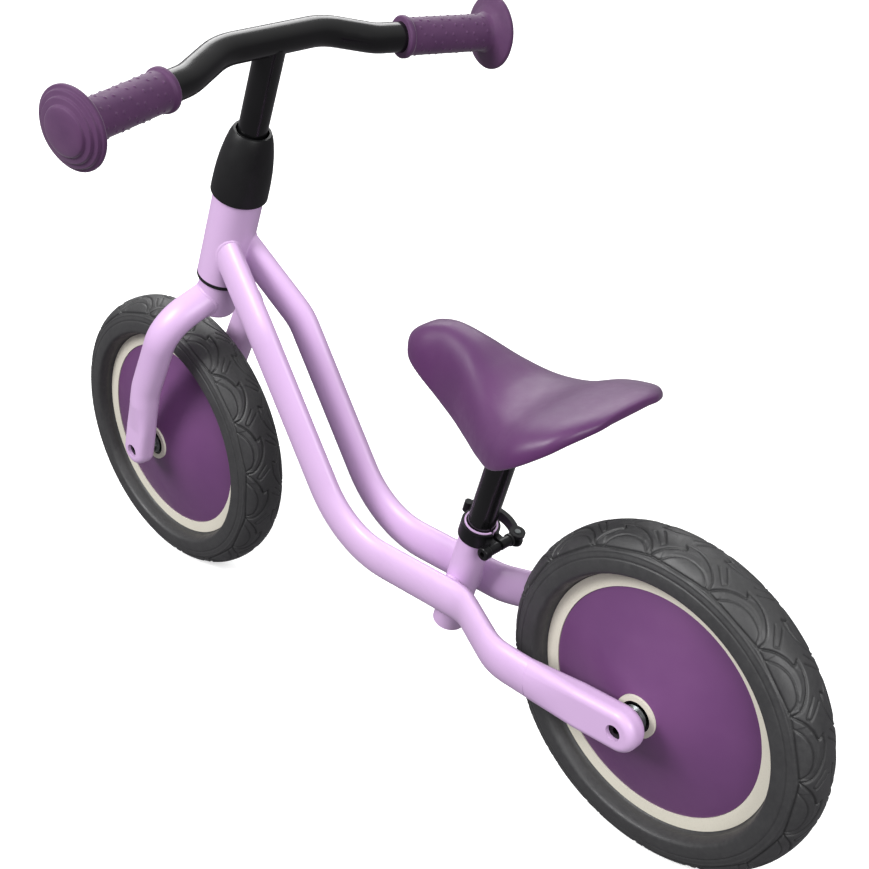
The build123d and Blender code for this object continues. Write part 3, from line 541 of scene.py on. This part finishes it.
# ---------------------------------------------------------------- saddle
# cross-sections from nose to tail: x, half width, crown height, underside height, all in mm
SADDLE_SECTIONS = [
    (-37.6, 4.5, 356, 350), (-41, 13, 360, 346), (-48, 19.5, 365, 340), (-60, 22, 371, 332),
    (-80, 22, 374.5, 319), (-105, 28, 370, 310), (-130, 40, 360, 307), (-155, 54, 351.5, 307),
    (-180, 67, 350.5, 311), (-205, 72.6, 358.5, 324), (-228, 65, 363, 339), (-240, 53.5, 364.8, 348.2),
    (-247, 42.5, 365, 353.2), (-250.8, 33.5, 364.4, 356), (-252, 26, 363.6, 357.4)]
SADDLE_ROWS = 150
SADDLE_COLUMNS = 64


def smooth_columns(table, count):
    """Catmull-Rom through the rows of a table, evenly in their cumulative distance."""
    table = np.array(table, float)
    distance = np.r_[0, np.cumsum(np.linalg.norm(np.diff(table[:, [0, 1]], axis=0), axis=1))]
    padded = with_end_points(table)
    rows = []
    for place in np.linspace(0, distance[-1], count):
        i = min(np.searchsorted(distance, place, side="right") - 1, len(table) - 2)
        t = (place - distance[i]) / (distance[i + 1] - distance[i])
        rows.append(catmull_rom(*padded[i:i + 4], t))
    return np.array(rows)


def saddle():
    """Moulded saddle: superellipse crown, rolled lower edge and a hollow underside."""
    rows = smooth_columns(SADDLE_SECTIONS, SADDLE_ROWS)
    power = 2 / 2.6
    angles = np.radians(np.linspace(-90, 90, SADDLE_COLUMNS))
    points = []
    for row, (x, half_width, crown, edge) in enumerate(rows):
        hollow = smooth_step(min(row, SADDLE_ROWS - 1 - row), 2, 26)
        top = [(math.copysign(abs(math.sin(a)) ** power, a) * half_width,
                edge + 1.4 + (crown - edge - 1.4) * max(math.cos(a), 0) ** power) for a in angles]
        inset = min(5.0, half_width * 0.4)
        rise = 0.6 + hollow * min(26.0, (crown - edge) * 0.55)
        lip = [(half_width - 0.5, edge + 0.5), (half_width - 1.8, edge), (half_width - inset, edge + 0.3),
               (half_width - inset - 1.0, edge + 1.6), (half_width * 0.8 - inset * 0.6, edge + rise)]
        under = [(half_width * s, edge + rise) for s in (0.4, 0.0, -0.4)]
        ring = top + lip + under + [(-y, z) for y, z in reversed(lip)]
        points.append([(x * MM, y * MM, z * MM) for y, z in ring])
    columns = len(points[0])
    flat = [p for ring in points for p in ring]
    faces = grid_faces(SADDLE_ROWS, columns, False, True)
    faces.append(tuple(range(columns)))
    faces.append(tuple(reversed(range((SADDLE_ROWS - 1) * columns, SADDLE_ROWS * columns))))
    piece = mesh_piece("saddle_skin", flat, faces, "saddle", "saddle_skin", ["saddle_cover"])
    return piece


# ---------------------------------------------------------------- weld seams
HEAD_FOOT_X = 351.0                 # where the steering axis meets the ground, mm
SEAT_FOOT_X = -42.9                 # where the seat tube's axis meets the ground
HEAD_TUBE_RADIUS = 22.2
CROWN_RADIUS = 19.0
SEAT_TUBE_RADIUS = 14
FRAME_TUBE = (18, 9.25)             # half height and half width of the oval tubes
FORK_LEG = (15.5, 12.7)
PATCH = (9.2, 14.5)                 # half sizes of the patch where a frame tube lies against the seat tube


def bead(name, path, outward, body, width=1.9, height=0.8, ripple=2.0):
    """Closed weld bead along a loop of points (mm), with the overlapping ripples of a hand weld."""
    path, outward = np.array(path, float), np.array(outward, float)
    closed = np.r_[path, path[:1]]
    lengths = np.r_[0, np.cumsum(np.linalg.norm(np.diff(closed, axis=0), axis=1))]
    count = max(int(lengths[-1] / 0.3), 40)
    places = np.linspace(0, lengths[-1], count, endpoint=False)
    closed_out = np.r_[outward, outward[:1]]
    centre = np.stack([np.interp(places, lengths, closed[:, k]) for k in range(3)], axis=1)
    out = np.stack([np.interp(places, lengths, closed_out[:, k]) for k in range(3)], axis=1)
    out /= np.linalg.norm(out, axis=1)[:, None]
    run = np.roll(centre, -1, axis=0) - np.roll(centre, 1, axis=0)
    run /= np.linalg.norm(run, axis=1)[:, None]
    side = np.cross(run, out)
    side /= np.linalg.norm(side, axis=1)[:, None]
    repeats = max(round(lengths[-1] / ripple), 8)
    wave = 1 - 0.22 * (places / lengths[-1] * repeats % 1)
    points = []
    for a in np.radians(np.linspace(0, 360, 14, endpoint=False)):
        points.append(centre + side * (width * math.cos(a) * wave)[:, None]
                      + out * (height * math.sin(a) * wave)[:, None])
    points = np.stack(points, axis=1).reshape(-1, 3) * MM
    return mesh_piece(name, points, grid_faces(count, 14, True, True), body, "frame_paint")


def tube_on_cylinder(point, towards, half_depth, half_width, foot_x, angle, radius):
    """Loop where an oval tube's outside meets a leaning round tube, and the loop's outward directions."""
    point, towards = np.array(point, float), np.array(towards, float)
    run = (point - towards) / np.linalg.norm(point - towards)
    across = np.array([0, 1, 0]) - run * run[1]
    across /= np.linalg.norm(across)
    deep = np.cross(across, run)
    axis = np.array([-math.sin(angle), 0, math.cos(angle)])
    foot = np.array([foot_x, 0, 0])
    loop, outward = [], []
    for a in np.radians(np.arange(0, 360, 4)):
        radial = deep * half_depth * math.cos(a) + across * half_width * math.sin(a)
        start = towards + radial - foot
        start_flat = start - axis * (start @ axis)
        run_flat = run - axis * (run @ axis)
        qa, qb, qc = run_flat @ run_flat, 2 * start_flat @ run_flat, start_flat @ start_flat - radius ** 2
        root = qb * qb - 4 * qa * qc
        t = (-qb - math.sqrt(max(root, 0))) / (2 * qa)
        hit = start + run * t
        normal = (hit - axis * (hit @ axis))
        normal /= np.linalg.norm(normal)
        loop.append(hit + foot)
        outward.append(normal + radial / np.linalg.norm(radial))
    return loop, outward


def mirrored_points(points):
    return [np.array(p) * [1, -1, 1] for p in points]


def frame_welds():
    """Seams of the frame tubes on the head tube and of the fork legs on the crown, both sides."""
    seams = {
        "weld_head": (tube_on_cylinder((200.3, 9, 371.2), (133.6, 22.95, 306.6), *FRAME_TUBE,
                                       HEAD_FOOT_X, HEAD_ANGLE, HEAD_TUBE_RADIUS), "frame"),
        "weld_crown": (tube_on_cylinder((224.4, 4, 313), (237.5, 52, 289.9), *FORK_LEG,
                                        HEAD_FOOT_X, HEAD_ANGLE, CROWN_RADIUS), "fork"),
    }
    for name, ((loop, outward), body) in seams.items():
        bead(f"{name}_left", loop, outward, body)
        bead(f"{name}_right", mirrored_points(loop), mirrored_points(outward), body)


def seat_tube_welds():
    """Seams round the patch where each frame tube's side lies against the seat tube."""
    centre_z, centre_y = 141.6, 22.95
    middle_x = SEAT_FOOT_X - centre_z * math.tan(SEAT_ANGLE)
    half_height, half_width = FRAME_TUBE
    loop, outward = [], []
    for a in np.radians(np.arange(0, 360, 6)):
        reach_x, reach_z = PATCH[0] * math.cos(a), PATCH[1] * math.sin(a)
        lean_x = middle_x + reach_x / math.cos(SEAT_ANGLE) - reach_z * math.tan(SEAT_ANGLE)
        tube_y = math.sqrt(SEAT_TUBE_RADIUS ** 2 - reach_x ** 2)
        oval_y = centre_y - half_width * math.sqrt(1 - (reach_z / half_height) ** 2)
        loop.append((lean_x, (tube_y + oval_y) / 2, centre_z + reach_z))
        outward.append((reach_x / PATCH[0], 0, reach_z / PATCH[1]))
    bead("weld_seat_left", loop, outward, "frame", width=2.9, height=1.5, ripple=2.1)
    bead("weld_seat_right", mirrored_points(loop), mirrored_points(outward), "frame", width=2.9, height=1.5,
         ripple=2.1)


# ---------------------------------------------------------------- studio and camera
def area_light(name, place, aim, size, power, colour=(1, 1, 1)):
    data = bpy.data.lights.new(name, "AREA")
    data.shape = "RECTANGLE"
    data.size, data.size_y = size
    data.energy = power
    data.color = colour
    light = bpy.data.objects.new(name, data)
    light.location = place
    light.rotation_euler = (Vector(aim) - Vector(place)).to_track_quat("-Z", "Y").to_euler()
    bpy.context.scene.collection.objects.link(light)


def sky(world):
    """World light that is soft and bright overhead and dim near and below the horizon."""
    nodes, links = world.node_tree.nodes, world.node_tree.links
    split = nodes.new("ShaderNodeSeparateXYZ")
    ramp = nodes.new("ShaderNodeValToRGB")
    links.new(nodes.new("ShaderNodeTexCoord").outputs["Generated"], split.inputs[0])
    links.new(split.outputs["Z"], ramp.inputs["Fac"])
    ramp.color_ramp.elements[0].position = 0.02
    ramp.color_ramp.elements[0].color = (0.3, 0.29, 0.31, 1)
    ramp.color_ramp.elements[1].position = 0.75
    ramp.color_ramp.elements[1].color = (1, 1, 1, 1)
    links.new(ramp.outputs["Color"], nodes["Background"].inputs["Color"])
    nodes["Background"].inputs["Strength"].default_value = 0.74


def white_floor():
    """Bright floor that catches soft shadows and throws no light back on the bike."""
    mesh = bpy.data.meshes.new("studio_floor")
    reach = 30
    corners = [(-reach, -reach, 0), (reach, -reach, 0), (reach, reach, 0), (-reach, reach, 0)]
    mesh.from_pydata(corners, [], [(0, 1, 2, 3)])
    look = Look("studio floor", 0.9, specular=0.1)
    look.vary((0.80, 0.80, 0.80, 1), (0.82, 0.82, 0.82, 1), 0.5)
    look.shader.inputs["Emission Color"].default_value = (1, 1, 1, 1)
    look.shader.inputs["Emission Strength"].default_value = 0.5
    mesh.materials.append(look.material)
    floor = bpy.data.objects.new("studio_floor", mesh)
    floor.location.z = -0.0005
    floor.visible_diffuse = False
    floor.visible_glossy = False
    bpy.context.scene.collection.objects.link(floor)


def studio():
    """Seamless white floor under an overhead sky, with a soft key ahead of the bike and two weaker lights."""
    scene = bpy.context.scene
    scene.world = bpy.data.worlds.new("studio")
    scene.world.use_nodes = True
    sky(scene.world)
    scene.view_settings.view_transform = "Standard"
    area_light("key", (0.8, 2.3, 2.2), (0, 0, 0.3), (1.2, 1.2), 92)
    area_light("rim", (1.7, -1.5, 2.1), (0, 0, 0.3), (2.2, 1.4), 42)
    area_light("fill", (-2.4, 0.8, 1.5), (0, 0, 0.3), (1.4, 1.0), 46)
    white_floor()


def camera():
    """The photograph's view: from behind and to the left, looking down."""
    azimuth, elevation = math.radians(225.22), math.radians(27.82)
    back = Vector((math.sin(azimuth) * math.cos(elevation), -math.cos(azimuth) * math.cos(elevation),
                   math.sin(elevation)))
    data = bpy.data.cameras.new("camera")
    data.sensor_width = 36
    data.lens = 61.03
    data.clip_start = 0.05
    view = bpy.data.objects.new("camera", data)
    view.location = (-0.80668, 0.74350, 0.82650)
    view.rotation_euler = back.to_track_quat("Z", "Y").to_euler()
    bpy.context.scene.collection.objects.link(view)
    bpy.context.scene.camera = view


# ---------------------------------------------------------------- the whole scene
dress_cad_nodes()
for end in ("front", "rear"):
    tyre(end)
for side in ("left", "right"):
    grip(side)
saddle()
frame_welds()
seat_tube_welds()
studio()
camera()
